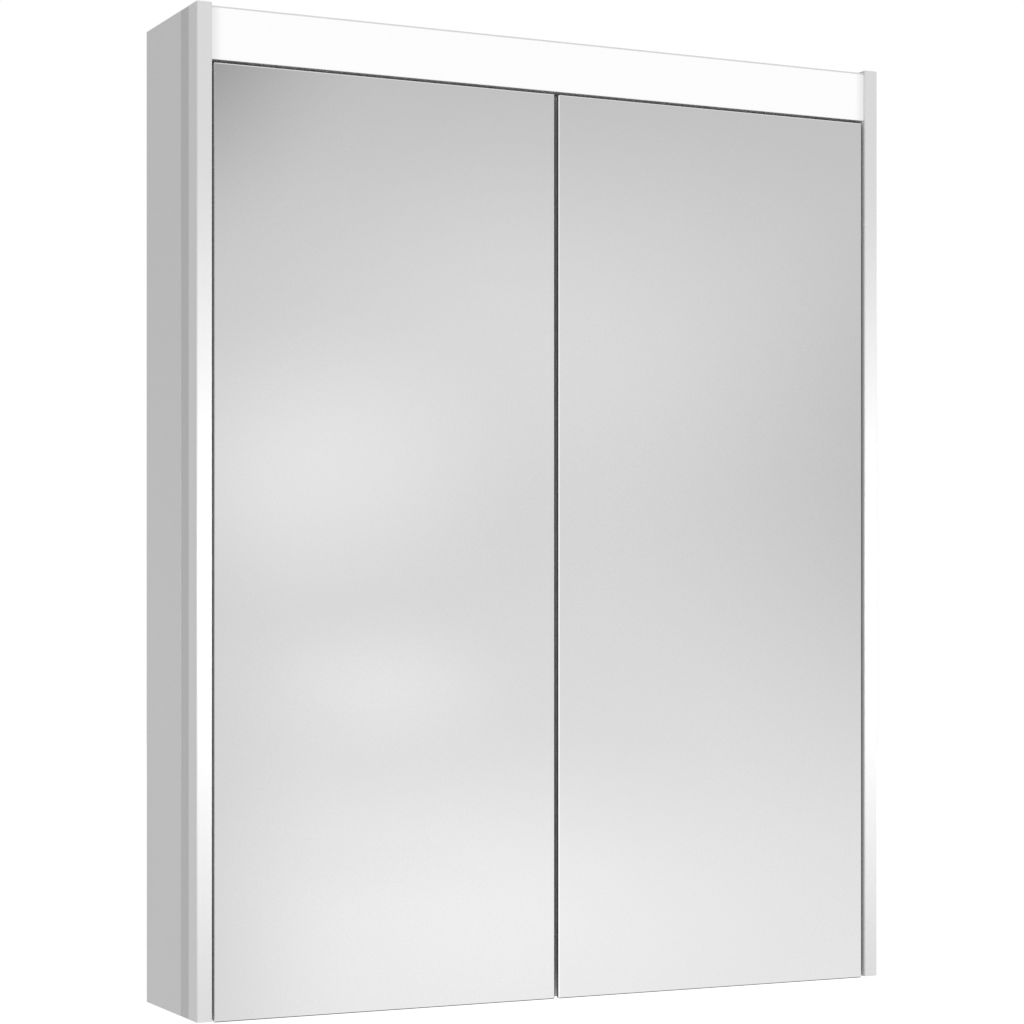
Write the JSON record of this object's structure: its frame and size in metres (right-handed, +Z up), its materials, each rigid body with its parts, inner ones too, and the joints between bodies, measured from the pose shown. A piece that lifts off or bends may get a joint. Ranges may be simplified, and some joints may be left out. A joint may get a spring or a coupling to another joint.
{
  "type": "medicine cabinet with mirror",
  "caption": "Shallow wall cabinet with frameless mirror doors between slim white corner posts, a full-width light strip above them, and glass shelves inside.",
  "frame": {"origin": "middle of the back, on the plane of the wall that the cabinet stands against", "axes": "+X to the right seen from the front, +Y back into the wall, +Z up; the doors face -Y"},
  "size_m": [0.6, 0.12, 0.76],
  "materials": {
    "white_board": "white satin lacquer on board",
    "back_board": "white matt board",
    "door_core": "white lacquered board",
    "white_profile": "white powder coat, satin",
    "post_cap": "fine grain",
    "housing": "white coat, satin",
    "opal_cover": "opal, satin",
    "circuit_board": "white solder mask",
    "door_mirror": "silvered glass with polished edges",
    "shelf_glass": "clear with polished edges",
    "steel": "nickel plated, satin",
    "rubber": "soft matt",
    "white_plastic": "fine grain, half gloss",
    "rocker_plastic": "half gloss"
  },
  "bodies": {
    "cabinet": {"back_board": "back_board", "cable_grommet": "rubber", "floor_board": "white_board", "led_board": "circuit_board", "led_driver": "white_plastic", "left_bottom_cap": "post_cap", "left_hanger": "steel", "left_lower_bumper": "rubber", "left_lower_hinge_arm": "steel", "left_lower_hinge_plate": "steel", "left_post": "white_profile", "left_side_board": "white_board", "left_top_cap": "post_cap", "left_upper_bumper": "rubber", "left_upper_hinge_arm": "steel", "left_upper_hinge_plate": "steel", "lid_board": "white_board", "light_deck": "white_board", "light_diffuser": "opal_cover", "light_housing": "housing", "lower_shelf": "shelf_glass", "lower_shelf_left_front_pin": "steel", "lower_shelf_left_rear_pin": "steel", "lower_shelf_right_front_pin": "steel", "lower_shelf_right_rear_pin": "steel", "right_bottom_cap": "post_cap", "right_hanger": "steel", "right_lower_bumper": "rubber", "right_lower_hinge_arm": "steel", "right_lower_hinge_plate": "steel", "right_post": "white_profile", "right_side_board": "white_board", "right_top_cap": "post_cap", "right_upper_bumper": "rubber", "right_upper_hinge_arm": "steel", "right_upper_hinge_plate": "steel", "socket_box": "white_plastic", "socket_insert": "white_plastic", "terminal_block": "white_plastic", "upper_shelf": "shelf_glass", "upper_shelf_left_front_pin": "steel", "upper_shelf_left_rear_pin": "steel", "upper_shelf_right_front_pin": "steel", "upper_shelf_right_rear_pin": "steel"},
    "left_door": {"left_door_core": "door_core", "left_front_mirror": "door_mirror", "left_lower_hinge_cup": "steel", "left_lower_hinge_pin": "steel", "left_rear_mirror": "door_mirror", "left_upper_hinge_cup": "steel", "left_upper_hinge_pin": "steel"},
    "right_door": {"right_door_core": "door_core", "right_front_mirror": "door_mirror", "right_lower_hinge_cup": "steel", "right_lower_hinge_pin": "steel", "right_rear_mirror": "door_mirror", "right_upper_hinge_cup": "steel", "right_upper_hinge_pin": "steel"},
    "rocker": {"rocker_switch": "rocker_plastic"}
  },
  "joints": [
    {"name": "left_door_hinge", "type": "hinge", "parent": "cabinet", "child": "left_door", "pos_m": [-0.262, -0.1095, 0], "axis": [0, 0, -1], "range_deg": [0, 95]},
    {"name": "right_door_hinge", "type": "hinge", "parent": "cabinet", "child": "right_door", "pos_m": [0.262, -0.1095, 0], "axis": [0, 0, 1], "range_deg": [0, 95]},
    {"name": "rocker_tilt", "type": "hinge", "parent": "cabinet", "child": "rocker", "pos_m": [0.2044, -0.05, 0.301], "axis": [1, 0, 0], "range_deg": [0, 16]}
  ]
}
